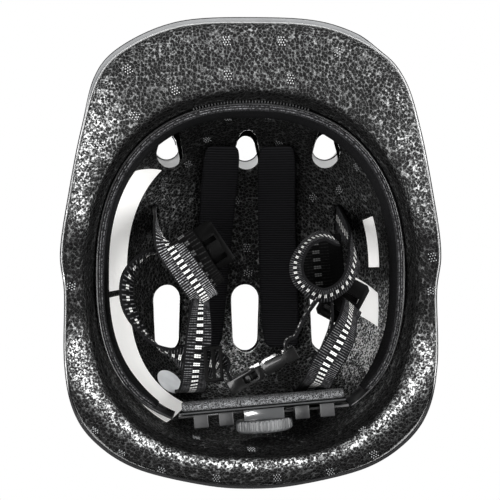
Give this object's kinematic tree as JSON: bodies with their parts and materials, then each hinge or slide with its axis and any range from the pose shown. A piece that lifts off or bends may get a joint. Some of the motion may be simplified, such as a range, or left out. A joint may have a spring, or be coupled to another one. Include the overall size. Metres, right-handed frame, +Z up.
{
  "type": "bicycle helmet",
  "caption": "Child's bicycle helmet with a visor, foam liner, dial-adjusted head ring, padded crown and a chin strap with a side-release buckle.",
  "frame": {"origin": "centre of the bounding box on the plane the rim rests on", "axes": "+X across the head towards the side with the loop of webbing, -Y towards the visor, +Y towards the dial, +Z up through the crown"},
  "size_m": [0.203, 0.249, 0.146],
  "materials": {
    "outer_shell": "moulded, glossy, white",
    "eps_liner": "expanded bead foam, charcoal",
    "ring_band": "smooth moulded band",
    "ring_pad": "brushed cloth over foam",
    "ring_pins": "moulded pin",
    "crown_pad_left": "ribbed cloth over foam",
    "crown_pad_right": "ribbed cloth over foam",
    "crown_hooks_left": "hook fastener",
    "crown_hooks_right": "hook fastener",
    "label_left_front": "blank white label film",
    "label_left_rear": "blank white label film",
    "label_right_strip": "blank white label film",
    "label_right_square": "blank white label film",
    "size_disc": "blank silver label film",
    "rear_pad": "brushed cloth over foam",
    "rear_plate": "moulded, satin",
    "rack_clips": "moulded, satin grey-black",
    "tail_left": "moulded, satin",
    "tail_right": "moulded, satin",
    "dial_housing": "moulded, glossy grey",
    "dial_pinion": "moulded",
    "dial_knob": "moulded, ribbed, satin grey",
    "detent_spring": "spring strip",
    "dial_screw": "plated",
    "strap_anchors": "moulded bar",
    "strap_front_left": "woven webbing, black with pale woven dashes",
    "strap_rear_left": "woven webbing, black with pale woven dashes",
    "chin_strap_left": "woven webbing, black with pale woven dashes",
    "strap_front_right": "woven webbing, black with pale woven dashes",
    "strap_rear_right": "woven webbing, black with pale woven dashes",
    "strap_tail_right": "woven webbing, black with pale woven dashes",
    "chin_strap_right": "woven webbing, black with pale woven dashes",
    "chin_strap_loop": "woven webbing, black with pale woven dashes",
    "buckle_socket": "moulded, glossy dark grey",
    "buckle_tongue": "moulded, glossy dark grey",
    "prong_upper": "moulded, glossy dark grey",
    "prong_lower": "moulded, glossy dark grey",
    "ladder_slider": "moulded, black",
    "divider_left": "moulded, black",
    "divider_pin_left": "plated pin",
    "divider_lever_left": "moulded, black",
    "divider_right": "moulded, black",
    "divider_pin_right": "plated pin",
    "divider_lever_right": "moulded, black"
  },
  "bodies": {
    "helmet": {"outer_shell": "outer_shell", "eps_liner": "eps_liner", "ring_band": "ring_band", "ring_pad": "ring_pad", "ring_pins": "ring_pins", "crown_pad_left": "crown_pad_left", "crown_pad_right": "crown_pad_right", "crown_hooks_left": "crown_hooks_left", "crown_hooks_right": "crown_hooks_right", "label_left_front": "label_left_front", "label_left_rear": "label_left_rear", "label_right_strip": "label_right_strip", "label_right_square": "label_right_square", "size_disc": "size_disc", "rear_pad": "rear_pad", "rear_plate": "rear_plate", "rack_clips": "rack_clips", "dial_housing": "dial_housing", "strap_anchors": "strap_anchors", "strap_front_left": "strap_front_left", "strap_rear_left": "strap_rear_left", "chin_strap_left": "chin_strap_left", "strap_front_right": "strap_front_right", "strap_rear_right": "strap_rear_right", "strap_tail_right": "strap_tail_right", "chin_strap_right": "chin_strap_right", "buckle_socket": "buckle_socket", "ladder_slider": "ladder_slider", "divider_left": "divider_left", "divider_pin_left": "divider_pin_left", "divider_right": "divider_right", "divider_pin_right": "divider_pin_right"},
    "dial": {"dial_pinion": "dial_pinion", "dial_knob": "dial_knob", "detent_spring": "detent_spring", "dial_screw": "dial_screw"},
    "tail_left": {"tail_left": "tail_left"},
    "tail_right": {"tail_right": "tail_right"},
    "tongue": {"buckle_tongue": "buckle_tongue", "chin_strap_loop": "chin_strap_loop"},
    "prong_upper": {"prong_upper": "prong_upper"},
    "prong_lower": {"prong_lower": "prong_lower"},
    "lever_left": {"divider_lever_left": "divider_lever_left"},
    "lever_right": {"divider_lever_right": "divider_lever_right"}
  },
  "joints": [
    {"name": "dial_turn", "type": "hinge", "parent": "helmet", "child": "dial", "pos_m": [0.007, 0.0836, 0.031], "axis": [0.0872, 0.9962, 0], "range_deg": [0, 180]},
    {"name": "tail_left_slide", "type": "slide", "parent": "helmet", "child": "tail_left", "axis": [0.9962, -0.0872, 0], "range_m": [0, 0.0126]},
    {"name": "tail_right_slide", "type": "slide", "parent": "helmet", "child": "tail_right", "axis": [-0.9962, 0.0872, 0], "range_m": [0, 0.0126]},
    {"name": "buckle_slide", "type": "slide", "parent": "helmet", "child": "tongue", "axis": [0.8763, -0.4818, 0], "range_m": [0, 0.012]},
    {"name": "prong_upper_squeeze", "type": "hinge", "parent": "tongue", "child": "prong_upper", "pos_m": [0.0058, 0.0618, 0.0175], "axis": [-0.4818, -0.8763, 0], "range_deg": [0, 8], "stiffness_Nm_per_rad": 0.0001},
    {"name": "prong_lower_squeeze", "type": "hinge", "parent": "tongue", "child": "prong_lower", "pos_m": [0.0058, 0.0618, 0.0055], "axis": [0.4818, 0.8763, 0], "range_deg": [0, 8], "stiffness_Nm_per_rad": 0.0001},
    {"name": "lever_left_open", "type": "hinge", "parent": "helmet", "child": "lever_left", "pos_m": [-0.02926, -0.00979, 0.0221], "axis": [0.829, -0.5592, 0], "range_deg": [0, 100]},
    {"name": "lever_right_open", "type": "hinge", "parent": "helmet", "child": "lever_right", "pos_m": [0.05441, 0.0167, 0.0296], "axis": [0.8829, 0.4695, 0], "range_deg": [0, 100]}
  ],
  "couplings": [
    {"joint": "tail_left_slide", "follows": "dial_turn", "m_per_rad": 0.004},
    {"joint": "tail_right_slide", "follows": "dial_turn", "m_per_rad": 0.004},
    {"joint": "prong_lower_squeeze", "follows": "prong_upper_squeeze", "ratio": 1}
  ]
}
